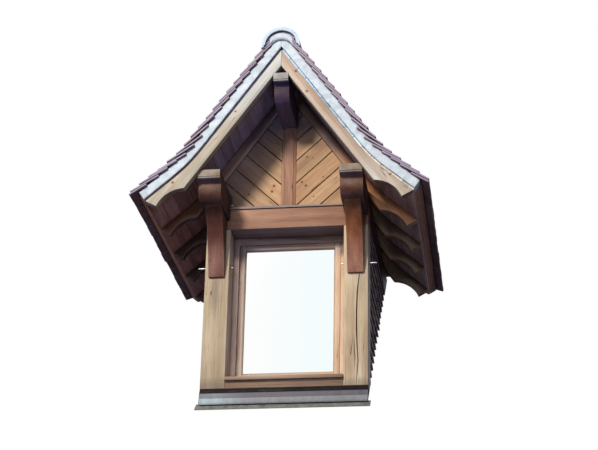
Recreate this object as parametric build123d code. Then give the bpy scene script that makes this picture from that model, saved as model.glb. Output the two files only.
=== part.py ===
from build123d import *
import math
import os

os.makedirs("parts", exist_ok=True)

# Oak-framed gabled dormer with a bell-cast overhanging tile roof. Millimetres, +Z up, +X to the right
# seen from outside, +Y back into the main roof. The origin lies on the main roof's surface, midway
# between the posts, under the middle of the sill beam. The pieces are drawn from the plane of the posts'
# front faces, with heights above the line where that plane meets the roof, and set on the seat at the end.

# Main roof that the dormer stands on
main_pitch = 43.0

# Posts, lintel and sill beam
sill_height = 120.0
post_centre = 511.0
post_width = 178.0
post_depth = 180.0
post_height = 1238.0
lintel_height = 174.0

# Wall plates with moulded ends, flush with the outer faces of the posts
plate_width = 167.5
plate_height = 208.0
plate_drop = 99.0
plate_reach = 441.0
nose_height = 54.0
ledge_set_back = 7.0
ledge_height = 10.0
cove_depth = 58.0
cove_height = 22.0
cove_hollow = 7.0
roll_bulge = 4.0
roll_turn = 62.0

# Ridge beam and king post
ridge_width = 112.0
ridge_height = 200.0
ridge_reach = 481.0
ridge_drop = 64.0
king_width = 108.0
king_depth = 100.0
king_set_back = 12.0
king_chamfer = 22.0

# Braces under the plates
brace_width = 118.0
brace_height = 460.0
brace_foot = 20.0
brace_waist = 88.0
brace_waist_height = 210.0
brace_reach = 280.0

# Roof shape along the top edge of the rafters, with heights from the top of the wall plates
apex_height = 953.0
knee_half = 653.0
knee_height = 20.0
eave_half = 963.0
eave_drop = 251.0
bell_length = 146.0
rafter_depth = 76.3
rafter_width = 60.0
rafter_spacing = 450.0
gable_rafter_y = 20.0
overhang = 477.0
cusp_half = 686.0
foot_depth = 87.0
foot_lean = 31.0
scoop_height = 36.0

# Layers above the rafters
board_thickness = 16.0
counter_height = 32.0
counter_width = 50.0
batten_height = 40.0
batten_width = 40.0
batten_gauge = 87.0
batten_clearance = 0.3
tile_thickness = 43.0
tile_overhang = 46.0
tile_top_width = 90.0
verge_lap = 33.0
board_inset = 7.0
fascia_thickness = 22.0
fascia_end = 2.0
mortar_inset = 25.0
mortar_depth = 75.0
mortar_end_lean = 7.5

# Ridge tiles and their bedding
ridge_tile_radius = 145.0
ridge_tile_wall = 35.0
ridge_centre_rise = 26.0
ridge_tile_skirt = 20.0
ridge_lap = 20.0
ridge_tile_length = 370.0
collar_width = 55.0
collar_height = 10.0
bed_hollow_radius = 93.0
bed_hollow_drop = 14.0

# Gable boarding
gable_board_thickness = 22.0
gable_board_set_back = 35.0

# Cheeks
cheek_inset = 65.0
stud_width = 80.0
stud_thickness = 60.0
stud_spacing = 340.0
sole_height = 80.0
sheathing = 20.0
cheek_tile_thickness = 45.0

# Window behind the posts
frame_lap = 30.0
frame_depth = 65.0
frame_face = 43.0
frame_bottom = 108.0
frame_rail = 35.0
sash_set_back = 10.0
sash_depth = 50.0
sash_face = 46.0
sash_rail = 30.0
sash_chamfer = 8.0
glass_thickness = 20.0
glass_lap = 10.0

# Sill between the posts
sill_front_height = 55.0
nosing_reach = 25.0
nosing_height = 26.0
sill_fall = 28.0
groove_set_back = 8.0
groove_width = 7.0
groove_depth = 5.0

# Metal flashing below the sill
flashing_thickness = 3.0
flashing_top = 30.0
flashing_flange = 15.0
flashing_upper = 52.0
flashing_lower = 34.0
flashing_upper_out = 15.0
flashing_upper_fall = 7.5
flashing_lower_out = 32.0
apron_length = 80.0
apron_thickness = 6.0
apron_side = 20.0

# Steel pins through the posts
pin_radius = 5.0
pin_height = 950.0
pin_outside = 60.0
pin_inside = 20.0
pin_depth = 50.0

# Values that follow from the ones above
slope = math.tan(math.radians(main_pitch))
frame_half = post_centre + post_width / 2
opening_half = post_centre - post_width / 2
post_base = sill_height
post_top = post_base + post_height
lintel_top = post_top + lintel_height
plate_bottom = lintel_top - plate_drop
plate_top = plate_bottom + plate_height
plate_half_in = frame_half - plate_width
apex_top = plate_top + apex_height
upper_pitch = math.atan2(apex_height - knee_height, knee_half)
lower_pitch = math.atan2(knee_height + eave_drop, eave_half - knee_half)
bell_radius = bell_length / math.tan((upper_pitch - lower_pitch) / 2)
apex_under = apex_top - rafter_depth / math.cos(upper_pitch)
ridge_top = apex_under - ridge_drop
ridge_bottom = ridge_top - ridge_height
knee = Vector(knee_half, plate_top + knee_height)
eave = Vector(eave_half, plate_top - eave_drop)
down_slope = Vector(math.cos(lower_pitch), -math.sin(lower_pitch))
off_slope = Vector(math.sin(lower_pitch), math.cos(lower_pitch))
off_upper = Vector(math.sin(upper_pitch), math.cos(upper_pitch))
counter_low = board_thickness
batten_low = counter_low + counter_height
tile_low = batten_low + batten_height
tile_high = tile_low + tile_thickness
tile_reach = overhang + verge_lap
board_reach = overhang - board_inset
mortar_reach = tile_reach - mortar_inset
ridge_tile_reach = tile_reach + ridge_lap
half_span = eave_half + tile_overhang + tile_high
roof_run = apex_top / slope + overhang
sides = {"left": -1, "right": 1}


def block(x0, x1, y0, y1, z0, z1):
    """A square-cut timber between two corners."""
    shape = Box(x1 - x0, y1 - y0, z1 - z0, align=(Align.MIN, Align.MIN, Align.MIN))
    return Pos(x0, y0, z0) * shape


def along_y(face_points, y0, y1):
    """A polygon drawn in X and Z, carried from y0 to y1."""
    outline = Polyline(*[(x, y0, z) for x, z in face_points], close=True)
    return extrude(make_face(outline), amount=y1 - y0, dir=(0, 1, 0))


def along_x(face_points, x0, x1):
    """A polygon drawn in Y and Z, carried from x0 to x1."""
    outline = Polyline(*[(x0, y, z) for y, z in face_points], close=True)
    return extrude(make_face(outline), amount=x1 - x0, dir=(1, 0, 0))


def mirrored(shape, side):
    """The right-hand piece, or its mirror image for the left."""
    return shape if side > 0 else mirror(shape, about=Plane.YZ)


def level(y):
    """Height of the main roof's surface at a depth y."""
    return y * slope


def above_roof(shape):
    """Cuts away what would lie below the main roof's surface."""
    outline = [(-roof_run, level(-roof_run)), (roof_run, level(roof_run)), (roof_run, level(-roof_run))]
    return shape - along_x(outline, -half_span, half_span)


def apex_at(offset):
    """Point over the ridge at a distance above the rafters' top edges."""
    return Vector(0, apex_top + offset / math.cos(upper_pitch))


def knee_at(offset):
    """Point at the bend of the roof at a distance above the rafters."""
    return knee + (off_slope + off_upper) * (offset / (1 + off_slope.dot(off_upper)))


def eave_at(offset, extend=0.0):
    """Point at the eave at a distance above the rafters and past their ends."""
    return eave + off_slope * offset + down_slope * extend


def roof_line(offset, extend, y):
    """The bell-cast line from ridge to eave in the plane at depth y."""
    points = [apex_at(offset), knee_at(offset), eave_at(offset, extend)]
    return FilletPolyline(*[(p.X, y, p.Y) for p in points], radius=bell_radius - offset)


def roof_layer(low, high, extend_low, extend_high, y0, y1):
    """One layer of the right-hand slope between two distances above the rafters."""
    lower = roof_line(low, extend_low, y0)
    upper = roof_line(high, extend_high, y0)
    top = Line(lower @ 0, upper @ 0)
    end = Line(lower @ 1, upper @ 1)
    face = make_face([*lower.edges(), *upper.edges(), top, end])
    return extrude(face, amount=y1 - y0, dir=(0, 1, 0))


def trimmed_half(shape, x0):
    """Keeps what lies further out than x0."""
    return shape - block(0, x0, -roof_run, roof_run, 0, apex_at(tile_high).Y)


def moulded_end(width_from, width_to, reach, bottom, top):
    """A beam whose front end has a nose, a ledge, a cove and a roll under it."""
    nose_low = top - nose_height
    ledge_y = -reach + ledge_set_back
    ledge_low = nose_low - ledge_height
    cove_y = ledge_y + cove_depth
    cove_low = ledge_low - cove_height
    hollow = Vector(cove_height, cove_depth).normalized() * cove_hollow
    cove_middle = (width_from, (ledge_y + cove_y) / 2 + hollow.X, (ledge_low + cove_low) / 2 + hollow.Y)
    roll_middle = (width_from, cove_y - roll_bulge, cove_low - (cove_low - bottom) / 4)
    x = width_from
    outline = [
        Line((x, roof_run, top), (x, -reach, top)),
        Line((x, -reach, top), (x, -reach, nose_low)),
        Line((x, -reach, nose_low), (x, ledge_y, nose_low)),
        Line((x, ledge_y, nose_low), (x, ledge_y, ledge_low)),
        ThreePointArc((x, ledge_y, ledge_low), cove_middle, (x, cove_y, cove_low)),
        ThreePointArc((x, cove_y, cove_low), roll_middle, (x, cove_y + roll_turn, bottom)),
        Line((x, cove_y + roll_turn, bottom), (x, roof_run, bottom)),
        Line((x, roof_run, bottom), (x, roof_run, top)),
    ]
    return extrude(make_face(outline), amount=width_to - width_from, dir=(1, 0, 0))


def curved_brace(x0, x1, foot, top, back):
    """A bracket with a hollow curved front, from a foot on the post to the beam above it."""
    foot_point = (x0, back - brace_foot, foot)
    waist_point = (x0, back - brace_waist, foot + brace_waist_height)
    lean = Vector(0, brace_foot - brace_waist, brace_waist_height)
    outline = [
        Line((x0, back, foot), foot_point),
        Line(foot_point, waist_point),
        TangentArc(waist_point, (x0, back - brace_reach, top), tangent=lean),
        Line((x0, back - brace_reach, top), (x0, back, top)),
        Line((x0, back, top), (x0, back, foot)),
    ]
    return extrude(make_face(outline), amount=x1 - x0, dir=(1, 0, 0))


def rafter(y):
    """The right-hand rafter of one pair, with its scooped foot."""
    top = roof_line(0, 0, y)
    under_apex = Vector(0, apex_under)
    cusp = Vector(cusp_half, apex_under - cusp_half * math.tan(upper_pitch))
    tip = eave - off_slope * foot_depth - down_slope * foot_lean
    chord = tip - cusp
    crown = (cusp + tip) * 0.5 + Vector(-chord.Y, chord.X).normalized() * scoop_height
    outline = [
        *top.edges(),
        Line(top @ 1, (tip.X, y, tip.Y)),
        ThreePointArc((tip.X, y, tip.Y), (crown.X, y, crown.Y), (cusp.X, y, cusp.Y)),
        Line((cusp.X, y, cusp.Y), (under_apex.X, y, under_apex.Y)),
        Line((under_apex.X, y, under_apex.Y), top @ 0),
    ]
    return extrude(make_face(outline), amount=rafter_width, dir=(0, 1, 0))


def sheet(points, thickness, x0, x1):
    """Bent sheet metal whose outer face follows the points, drawn in Y and Z."""
    inner = []
    for i, (y, z) in enumerate(points):
        before = Vector(*points[max(i - 1, 0)])
        after = Vector(*points[min(i + 1, len(points) - 1)])
        here = Vector(y, z)
        legs = [leg.normalized() for leg in (here - before, after - here) if leg.length > 0]
        normals = [Vector(-leg.Y, leg.X) for leg in legs]
        total = sum(normals, Vector(0, 0))
        shift = total * (thickness * len(normals) / total.dot(total))
        inner.append(((here + shift).X, (here + shift).Y))
    return along_x(list(points) + inner[::-1], x0, x1)


# Sill beam, posts and lintel
sill_beam = above_roof(block(-frame_half, frame_half, 0, sill_height / slope, 0, sill_height))
lintel = block(-frame_half, frame_half, 0, post_depth, post_top, lintel_top)
post = above_roof(block(opening_half, frame_half, 0, post_depth, post_base, post_top))

# Wall plate notched over the lintel, ridge beam and king post
plate = above_roof(moulded_end(plate_half_in, frame_half, plate_reach, plate_bottom, plate_top))
plate -= lintel
ridge_beam = above_roof(moulded_end(-ridge_width / 2, ridge_width / 2, ridge_reach, ridge_bottom, ridge_top))
king_back = king_set_back + king_depth
king_post = block(-king_width / 2, king_width / 2, king_set_back, king_back, lintel_top, ridge_bottom)
king_front_edges = king_post.edges().filter_by(Axis.Z).group_by(Axis.Y)[0]
king_post = chamfer(king_front_edges, king_chamfer)

# Brace from post to plate
brace_low = plate_bottom - brace_height
brace = curved_brace(post_centre - brace_width / 2, post_centre + brace_width / 2, brace_low, plate_bottom, 0)

# Rafters, notched over the plate and the ridge beam
rafter_count = int((apex_under / slope - gable_rafter_y) / rafter_spacing)
verge_rafter = rafter(-overhang) - plate - ridge_beam
gable_rafter = rafter(gable_rafter_y) - plate - ridge_beam
rafter_places = [gable_rafter_y + rafter_spacing * (i + 1) for i in range(rafter_count)]
rafters = [above_roof(rafter(y) - plate - ridge_beam) for y in rafter_places]

# Layers of the right-hand roof slope
roof_boards = above_roof(roof_layer(0, board_thickness, 0, 0, -board_reach, roof_run))
mortar_back = mortar_depth - mortar_reach
fascia_back = fascia_end - fascia_thickness
fascia = roof_layer(counter_low, tile_low, fascia_end, fascia_end, mortar_back, roof_run)
fascia -= roof_layer(0, tile_high, fascia_back, fascia_back, mortar_back, roof_run)
fascia = above_roof(fascia)
counters = []
for y in [gable_rafter_y, *rafter_places]:
    near = y + (rafter_width - counter_width) / 2
    strip = roof_layer(counter_low, batten_low, fascia_back, fascia_back, near, near + counter_width)
    counters.append(above_roof(trimmed_half(strip, tile_top_width)))
tiles = roof_layer(tile_low, tile_high, tile_overhang, tile_overhang, -tile_reach, roof_run)
tiles = above_roof(trimmed_half(tiles, tile_top_width))

# Battens across the slope, one for each course of tiles
batten_path = roof_line(batten_low, fascia_back, mortar_back)
battens = []
for i in range(int(batten_path.length / batten_gauge)):
    near = batten_path.length - batten_width - i * batten_gauge
    upper = batten_path @ (near / batten_path.length)
    lower = batten_path @ ((near + batten_width) / batten_path.length)
    if upper.X < tile_top_width:
        break
    run = (lower - upper).normalized()
    rise = Vector(-run.Z, 0, run.X) * (batten_height - batten_clearance)
    corners = [upper, lower, lower + rise, upper + rise]
    bar = along_y([(p.X, p.Z) for p in corners], mortar_back, roof_run)
    battens.append(above_roof(bar))

# Ridge tiles with collars, and the mortar that beds them
ridge_z = apex_top + ridge_centre_rise


def half_round(radius, y0, y1):
    """A half-round bar along the ridge with short upright sides."""
    rod = Cylinder(radius, y1 - y0, align=(Align.CENTER, Align.CENTER, Align.MIN))
    bar = Pos(0, y0, ridge_z) * Rot(-90, 0, 0) * rod
    side = radius + collar_height
    bar = bar - block(-side, side, y0, y1, ridge_z - side, ridge_z)
    return bar + block(-radius, radius, y0, y1, ridge_z - ridge_tile_skirt, ridge_z)


tiles_left = mirrored(tiles, -1)
ridge_inner = ridge_tile_radius - ridge_tile_wall
ridge_tiles = half_round(ridge_tile_radius - collar_height, -ridge_tile_reach, roof_run)
collar_y = -ridge_tile_reach
while collar_y < (ridge_z + ridge_tile_radius) / slope:
    ridge_tiles += half_round(ridge_tile_radius, collar_y, collar_y + collar_width)
    collar_y += ridge_tile_length
ridge_tiles -= half_round(ridge_inner, -ridge_tile_reach, roof_run)
ridge_tiles = above_roof(ridge_tiles - tiles - tiles_left)
hollow = Pos(0, -ridge_tile_reach, apex_top - bed_hollow_drop) * Rot(-90, 0, 0) * Cylinder(
    bed_hollow_radius, roof_run + ridge_tile_reach, align=(Align.CENTER, Align.CENTER, Align.MIN))
ridge_bed = half_round(ridge_inner, -tile_reach, roof_run) - hollow - tiles - tiles_left
ridge_bed = above_roof(ridge_bed - block(-ridge_inner, ridge_inner, -tile_reach, roof_run, 0, ridge_z))

# Mortar fillet along the verge
verge_mortar = roof_layer(board_thickness, tile_low, 0, -mortar_end_lean, -mortar_reach, mortar_back)
ridge_end = block(0, ridge_tile_radius, -tile_reach, mortar_back, ridge_z, apex_at(tile_high).Y) - hollow
verge_mortar = verge_mortar - ridge_end - ridge_tiles

# Gable boarding between king post, rafter, plate and lintel
rafter_foot_x = (apex_under - plate_top) / math.tan(upper_pitch)
gable_boards = along_y(
    [
        (king_width / 2, lintel_top),
        (plate_half_in, lintel_top),
        (plate_half_in, plate_top),
        (rafter_foot_x, plate_top),
        (king_width / 2, apex_under - king_width / 2 * math.tan(upper_pitch)),
    ],
    gable_board_set_back,
    gable_board_set_back + gable_board_thickness,
) - ridge_beam

# Cheek: sloping sole, studs, sheathing and hung tiles
stud_outer = frame_half - cheek_inset
stud_inner = stud_outer - stud_width
sole_rise = sole_height / math.cos(math.radians(main_pitch))


def cheek_panel(x0, x1, low):
    """A triangle between post, plate and main roof, its lower edge raised by low."""
    outline = [
        (post_depth, level(post_depth) + low),
        (post_depth, plate_bottom),
        ((plate_bottom - low) / slope, plate_bottom),
    ]
    return along_x(outline, x0, x1)


sole = cheek_panel(stud_inner, stud_outer, 0) - cheek_panel(stud_inner, stud_outer, sole_rise)
studs = []
stud_y = post_depth + stud_spacing
while level(stud_y + stud_thickness) + sole_rise < plate_bottom:
    stud = block(stud_inner, stud_outer, stud_y, stud_y + stud_thickness, 0, plate_bottom)
    stud_room = cheek_panel(stud_inner, stud_outer, sole_rise)
    studs.append(stud & stud_room)
    stud_y += stud_spacing
cheek_boards = cheek_panel(stud_outer, stud_outer + sheathing, 0)
cheek_tiles = cheek_panel(stud_outer + sheathing, stud_outer + sheathing + cheek_tile_thickness, 0)

# Window: fixed frame on the back of the posts, sash and glass
frame_low = post_base + frame_bottom
frame_high = post_top + frame_lap
frame_outer = opening_half + frame_lap
sash_half = opening_half - frame_face
sash_low = frame_low + frame_rail
sash_high = post_top - frame_face - sash_set_back
glass_half = sash_half - sash_face
glass_low = sash_low + sash_rail
glass_high = sash_high - sash_face
frame_y = post_depth
window_frame = block(-frame_outer, frame_outer, frame_y, frame_y + frame_depth, frame_low, frame_high)
window_frame -= block(-sash_half, sash_half, frame_y, frame_y + frame_depth, sash_low, sash_high)
sash_y = frame_y + sash_set_back
window_sash = block(-sash_half, sash_half, sash_y, sash_y + sash_depth, sash_low, sash_high)
window_sash -= block(-glass_half, glass_half, sash_y, sash_y + sash_depth, glass_low, glass_high)
sash_opening = window_sash.faces().sort_by(Axis.Y)[0].inner_wires()[0]
window_sash = chamfer(sash_opening.edges(), sash_chamfer)
glass_y = sash_y + (sash_depth - glass_thickness) / 2
window_glass = block(-glass_half - glass_lap, glass_half + glass_lap, glass_y, glass_y + glass_thickness,
                     glass_low - glass_lap, glass_high + glass_lap)
window_sash -= window_glass

# Sill with a drip nosing, between the posts and on the sill beam
sill_face = post_base + sill_front_height
window_sill = above_roof(along_x(
    [
        (0, post_base),
        (0, sill_face),
        (-nosing_reach, sill_face),
        (-nosing_reach, sill_face + nosing_height),
        (post_depth, sill_face + nosing_height + sill_fall),
        (post_depth, post_base),
    ],
    -opening_half,
    opening_half,
))
groove_y = groove_set_back - nosing_reach
groove_top = sill_face + groove_depth
window_sill -= block(-opening_half, opening_half, groove_y, groove_y + groove_width, sill_face, groove_top)

# Sheet metal below the sill
step_top = post_base - flashing_top
step_low = step_top - flashing_upper
foot_low = step_low - flashing_lower
sill_flashing = sheet(
    [
        (-flashing_thickness, step_top + flashing_flange),
        (-flashing_thickness, step_top),
        (-flashing_upper_out, step_top - flashing_upper_fall),
        (-flashing_upper_out, step_low),
        (-flashing_lower_out, step_low),
        (-flashing_lower_out, foot_low),
    ],
    flashing_thickness,
    -frame_half,
    frame_half,
)
apron_end = -apron_length * math.cos(math.radians(main_pitch))
apron_rise = apron_thickness / math.cos(math.radians(main_pitch))
sill_apron = along_x(
    [(0, 0), (apron_end, level(apron_end)), (apron_end, level(apron_end) + apron_rise), (0, apron_rise)],
    -frame_half - apron_side,
    frame_half + apron_side,
)

# Pins on both faces of each post
pin_z = post_base + pin_height


def pin(x0, x1):
    """A round pin lying along X between two places."""
    return Pos(x0, pin_depth, pin_z) * Rot(0, 90, 0) * Cylinder(
        pin_radius, x1 - x0, align=(Align.CENTER, Align.CENTER, Align.MIN))


pins = [pin(frame_half, frame_half + pin_outside), pin(opening_half - pin_inside, opening_half)]

# Node names and their solids
nodes = {
    "sill_beam": sill_beam,
    "lintel": lintel,
    "king_post": king_post,
    "ridge_beam": ridge_beam,
    "ridge_tiles": ridge_tiles,
    "ridge_bedding": ridge_bed,
    "window_frame": window_frame,
    "window_sash": window_sash,
    "window_glass": window_glass,
    "window_sill": window_sill,
    "sill_flashing": sill_flashing,
    "sill_apron": sill_apron,
}
right_pieces = {
    "post": post,
    "wall_plate": plate,
    "brace": brace,
    "verge_rafter": verge_rafter,
    "gable_rafter": gable_rafter,
    "rafters": rafters,
    "roof_boards": roof_boards,
    "counter_battens": counters,
    "battens": battens,
    "fascia": fascia,
    "roof_tiles": tiles,
    "verge_mortar": verge_mortar,
    "gable_boards": gable_boards,
    "cheek_sole": sole,
    "cheek_studs": studs,
    "cheek_boards": cheek_boards,
    "cheek_tiles": cheek_tiles,
    "post_pins": pins,
}
both_sides = ["counter_battens", "battens", "post_pins"]


def solids_of(shape):
    """The separate solids of one shape or of a list of shapes."""
    pieces = shape if isinstance(shape, list) else [shape]
    return [solid for piece in pieces for solid in piece.solids()]


for name, shape in right_pieces.items():
    if name in both_sides:
        nodes[name] = [mirrored(s, side) for side in sides.values() for s in solids_of(shape)]
    else:
        for word, side in sides.items():
            nodes[f"{word}_{name}"] = [mirrored(s, side) for s in solids_of(shape)]

seat_y = sill_height / slope / 2
seat = Pos(0, -seat_y, -level(seat_y))
for name, shape in nodes.items():
    solids = [seat * solid for solid in solids_of(shape)]
    whole = solids[0] if len(solids) == 1 else Compound(children=solids)
    export_step(whole, f"parts/{name}.step")
    print(name, len(solids), round(sum(s.volume for s in solids) / 1e6, 2), "litres")
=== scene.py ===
import math
import random
from contextlib import contextmanager

import bmesh
import bpy
from mathutils import Matrix, Vector


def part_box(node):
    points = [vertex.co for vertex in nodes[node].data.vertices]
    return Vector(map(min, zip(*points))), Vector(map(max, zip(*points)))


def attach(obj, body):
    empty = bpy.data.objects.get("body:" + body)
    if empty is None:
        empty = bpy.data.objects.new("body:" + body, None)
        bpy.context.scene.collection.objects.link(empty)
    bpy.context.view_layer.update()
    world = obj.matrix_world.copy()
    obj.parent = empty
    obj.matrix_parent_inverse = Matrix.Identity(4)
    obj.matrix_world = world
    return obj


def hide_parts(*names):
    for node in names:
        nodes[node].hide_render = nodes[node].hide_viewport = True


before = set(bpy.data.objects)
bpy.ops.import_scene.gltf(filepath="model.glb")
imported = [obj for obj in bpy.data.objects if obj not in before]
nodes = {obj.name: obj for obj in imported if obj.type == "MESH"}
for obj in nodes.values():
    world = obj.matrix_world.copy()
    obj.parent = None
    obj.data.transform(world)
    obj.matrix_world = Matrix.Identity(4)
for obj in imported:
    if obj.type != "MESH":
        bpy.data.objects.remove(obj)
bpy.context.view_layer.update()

# Oak dormer window with a tiled, boarded roof. Metres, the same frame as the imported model.

scene = bpy.context.scene
randomly = random.Random(11)
sides = (("left", -1), ("right", 1))
print("frame loaded:", len(nodes), "nodes")

# Sizes that several pieces share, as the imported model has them

roofShape = {"apexZ": 2.534, "kneeX": 0.653, "kneeZ": 1.601, "eaveX": 0.963, "eaveZ": 1.330, "bend": 0.146}
mainPitch = math.radians(43)
roofNormal = Vector((0, math.sin(mainPitch), -math.cos(mainPitch)))
upperPitch = math.atan2(roofShape["apexZ"] - roofShape["kneeZ"], roofShape["kneeX"])
lowerPitch = math.atan2(roofShape["kneeZ"] - roofShape["eaveZ"], roofShape["eaveX"] - roofShape["kneeX"])


def downSlope(angle):
    return Vector((math.cos(angle), -math.sin(angle)))


def offSlope(angle):
    return Vector((math.sin(angle), math.cos(angle)))


def roofPoint(offset, along):
    # X, Z and steepness at a distance down the slope, offset metres above the rafters
    offUpper, offLower = offSlope(upperPitch), offSlope(lowerPitch)
    apex = Vector((0, roofShape["apexZ"] + offset / math.cos(upperPitch)))
    knee = Vector((roofShape["kneeX"], roofShape["kneeZ"]))
    knee += (offUpper + offLower) * (offset / (1 + offUpper.dot(offLower)))
    half = math.tan((upperPitch - lowerPitch) / 2)
    radius = roofShape["bend"] / half - offset
    firstRun = (knee - apex).length - radius * half
    bendRun = radius * (upperPitch - lowerPitch)
    if along <= firstRun:
        angle = upperPitch
        spot = apex + downSlope(angle) * along
    elif along <= firstRun + bendRun:
        angle = upperPitch - (along - firstRun) / radius
        spot = apex + downSlope(upperPitch) * firstRun + offUpper * radius - offSlope(angle) * radius
    else:
        angle = lowerPitch
        spot = knee + downSlope(angle) * radius * half + downSlope(angle) * (along - firstRun - bendRun)
    return spot.x, spot.y, angle


def roofLength(offset, extend):
    # Length of one slope at that offset, down to the eave and extend metres past it
    low, high = 0.5, 3.0
    target = roofShape["eaveX"] + offset * math.sin(lowerPitch) + extend * math.cos(lowerPitch)
    for _ in range(40):
        middle = (low + high) / 2
        low, high = (middle, high) if roofPoint(offset, middle)[0] < target else (low, middle)
    return low


# Modelling steps

cleaning = {"merge": 0.00005, "flat": math.radians(0.6), "insideRoof": -0.005}


def camel(node):
    first, *rest = node.split("_")
    return first + "".join(word.capitalize() for word in rest)


def pick(piece=None):
    # Object mode, with only this piece or nothing selected
    if bpy.context.mode != "OBJECT":
        bpy.ops.object.mode_set(mode="OBJECT")
    bpy.ops.object.select_all(action="DESELECT")
    if piece:
        piece.select_set(True)
        bpy.context.view_layer.objects.active = piece


def settled(name):
    # Names the object in hand and puts its origin, turn and size to rest
    piece = bpy.context.object
    piece.name = name
    pick(piece)
    bpy.ops.object.transform_apply(location=True, rotation=True, scale=True)
    return piece


def addBlock(name, low, high):
    low, high = Vector(low), Vector(high)
    pick()
    bpy.ops.mesh.primitive_cube_add(size=1, location=(low + high) / 2, scale=high - low)
    return settled(name)


def applied(piece, kind, **values):
    pick(piece)
    modifier = piece.modifiers.new(kind.capitalize(), kind)
    for key, value in values.items():
        setattr(modifier, key, value)
    bpy.ops.object.modifier_apply(modifier=modifier.name)


def soften(piece, width, segments=2, limit=30):
    applied(piece, "BEVEL", width=width, segments=segments, limit_method="ANGLE", angle_limit=math.radians(limit))


def smoothed(piece, angle=35):
    pick(piece)
    bpy.ops.object.shade_smooth_by_angle(angle=math.radians(angle))


@contextmanager
def editing(piece, kind="FACE", test=None):
    # Edit mode with everything selected, or only the faces, edges or vertices that pass the test
    pick(piece)
    bpy.ops.object.mode_set(mode="EDIT")
    bpy.ops.mesh.select_mode(type=kind)
    bpy.ops.mesh.select_all(action="DESELECT" if test else "SELECT")
    if test:
        mesh = bmesh.from_edit_mesh(piece.data)
        for item in {"FACE": mesh.faces, "EDGE": mesh.edges, "VERT": mesh.verts}[kind]:
            if test(item):
                item.select_set(True)
        mesh.select_flush_mode()
        bmesh.update_edit_mesh(piece.data)
    yield
    bpy.ops.object.mode_set(mode="OBJECT")


def edgeMiddle(edge):
    return (edge.verts[0].co + edge.verts[1].co) / 2


def edgeAlong(edge, axis):
    run = edge.verts[1].co - edge.verts[0].co
    return abs(run[axis]) > 0.95 * run.length


def cutAway(piece, point, normal):
    # Takes off what lies beyond the plane and closes the cut
    with editing(piece):
        bpy.ops.mesh.bisect(plane_co=point, plane_no=normal, use_fill=True, clear_outer=True)


def reach(piece, normal):
    # Nearest and furthest distance of the piece along a direction from the origin
    spots = [normal.dot(v.co) for v in piece.data.vertices]
    return (min(spots), max(spots)) if spots else (9, 9)


def clippedByRoof(piece):
    # False when the piece lies wholly inside the main roof
    near, far = reach(piece, roofNormal)
    if near > cleaning["insideRoof"]:
        bpy.data.objects.remove(piece)
        return False
    if far > 0:
        cutAway(piece, (0, 0, 0), roofNormal)
    return True


def duplicate(piece, name):
    twin = bpy.data.objects.new(name, piece.data.copy())
    scene.collection.objects.link(twin)
    return twin


def cadCopy(node):
    piece = duplicate(nodes[node], camel(node))
    pick(piece)
    bpy.ops.mesh.customdata_custom_splitnormals_clear()
    with editing(piece):
        bpy.ops.mesh.remove_doubles(threshold=cleaning["merge"])
        bpy.ops.mesh.dissolve_limited(angle_limit=cleaning["flat"])
    return piece


def giveTone(piece, value):
    mesh = piece.data
    layer = mesh.attributes.get("tone") or mesh.attributes.new("tone", "FLOAT", "POINT")
    layer.data.foreach_set("value", [value] * len(mesh.vertices))


def joined(name, pieces):
    pick()
    for piece in pieces:
        piece.select_set(True)
    bpy.context.view_layer.objects.active = pieces[0]
    bpy.ops.object.join()
    return settled(name)


def roughened(piece, amount, size):
    texture = bpy.data.textures.new(piece.name + "Lumps", "CLOUDS")
    texture.noise_scale = size
    texture.noise_depth = 2
    applied(piece, "DISPLACE", texture=texture, strength=amount, mid_level=0.5, texture_coords="GLOBAL")


def finished(piece, material, slot, *replaced):
    piece.data.materials.clear()
    piece.data.materials.append(material)
    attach(piece, "root")
    if replaced:
        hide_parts(*replaced)


def dressed(node, material, slot, edge, segments=2, piece=None, smooth=True):
    # Softens and finishes the piece that stands for a node: the node's own copy, unless one is given
    piece = piece or cadCopy(node)
    soften(piece, edge, segments)
    if smooth:
        smoothed(piece)
    finished(piece, material, slot, node)


# Shader building: these words add nodes to the tree in hand

hand = {}


class Value:
    # A node's output, with which sums can be written
    def __init__(self, socket):
        self.socket = socket
        self.isVector = socket.type in ("VECTOR", "RGBA")

    def __add__(self, other):
        return maths("ADD", self, other)

    def __radd__(self, other):
        return maths("ADD", other, self)

    def __sub__(self, other):
        return maths("SUBTRACT", self, other)

    def __mul__(self, other):
        return maths("MULTIPLY", self, other)

    def __truediv__(self, other):
        return maths("DIVIDE", self, other)

    def __rtruediv__(self, other):
        return maths("DIVIDE", other, self)

    def __pow__(self, other):
        return maths("POWER", self, other)


def feedAll(node, inputs):
    for key, value in inputs.items():
        if isinstance(value, Value):
            hand["tree"].links.new(value.socket, node.inputs[key])
        elif value is not None:
            node.inputs[key].default_value = value


def put(kind, inputs=None, **settings):
    node = hand["tree"].nodes.new("ShaderNode" + kind)
    for key, value in settings.items():
        setattr(node, key, value)
    feedAll(node, inputs or {})
    return node


def got(kind, inputs=None, output=0, **settings):
    return Value(put(kind, inputs, **settings).outputs[output])


def maths(operation, first, second=None):
    # Numbers or vectors; a vector times a number is scaled
    wide = [isinstance(value, tuple) or getattr(value, "isVector", False) for value in (first, second)]
    if not any(wide):
        return got("Math", {0: first, 1: second}, operation=operation)
    if operation == "MULTIPLY" and not all(wide):
        vector, scale = (first, second) if wide[0] else (second, first)
        return got("VectorMath", {0: vector, 3: scale}, operation="SCALE")
    output = 1 if operation in ("LENGTH", "DOT_PRODUCT") else 0
    return got("VectorMath", {0: first, 1: second}, output, operation=operation)


def blend(amount, first, second, mode="MIX"):
    first, second = ((*colour, 1) if isinstance(colour, tuple) else colour for colour in (first, second))
    return got("Mix", {0: amount, 6: first, 7: second}, 2, data_type="RGBA", blend_type=mode)


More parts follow.
